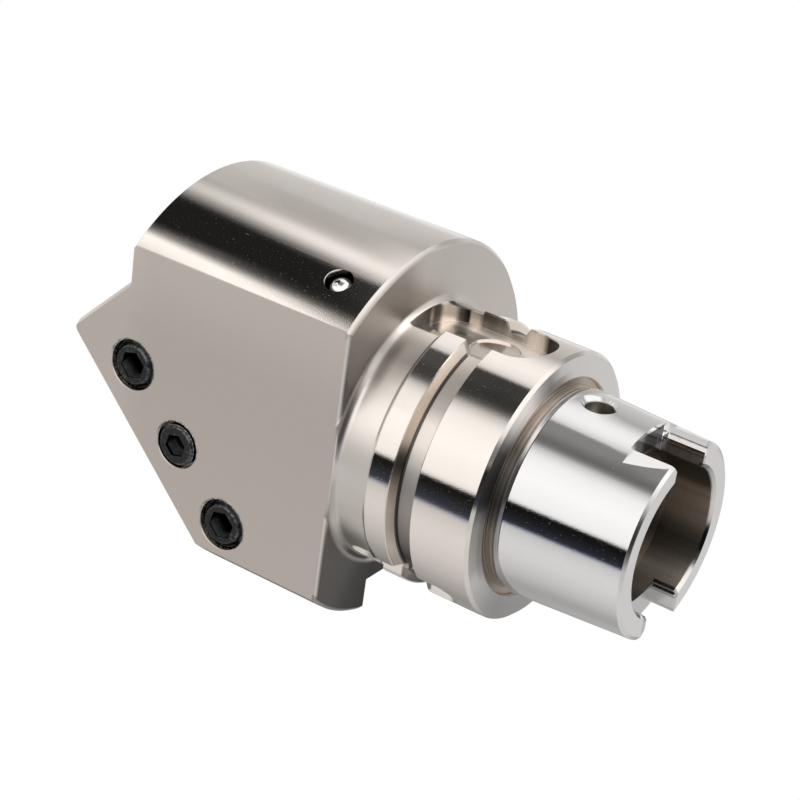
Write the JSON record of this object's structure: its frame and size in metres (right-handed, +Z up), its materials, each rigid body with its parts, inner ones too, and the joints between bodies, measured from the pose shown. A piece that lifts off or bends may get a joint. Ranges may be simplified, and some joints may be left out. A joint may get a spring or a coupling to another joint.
{
  "type": "hsk turning tool holder",
  "caption": "Hollow taper shank turning tool holder with a slanted square shank seat, clamping set screws, a flange with gripper groove and a big flat.",
  "frame": {"origin": "On the spindle axis, in the plane of the contact face of the flange.", "axes": "X runs along the spindle axis and points into the spindle. The big flat of the head faces -Y. Z is up, the deeper drive slot lies on +Z."},
  "size_m": [0.1434, 0.0765, 0.0887],
  "materials": {
    "nickel_steel": "satin",
    "black_screw": "black oxide",
    "bar_steel": "satin",
    "ball_steel": "polished"
  },
  "bodies": {
    "root": {"holder_body": "nickel_steel", "clamp_screw_upper": "black_screw", "clamp_screw_lower": "black_screw", "holding_screw": "black_screw", "clamping_bar": "bar_steel", "coolant_ball": "ball_steel"}
  },
  "joints": []
}
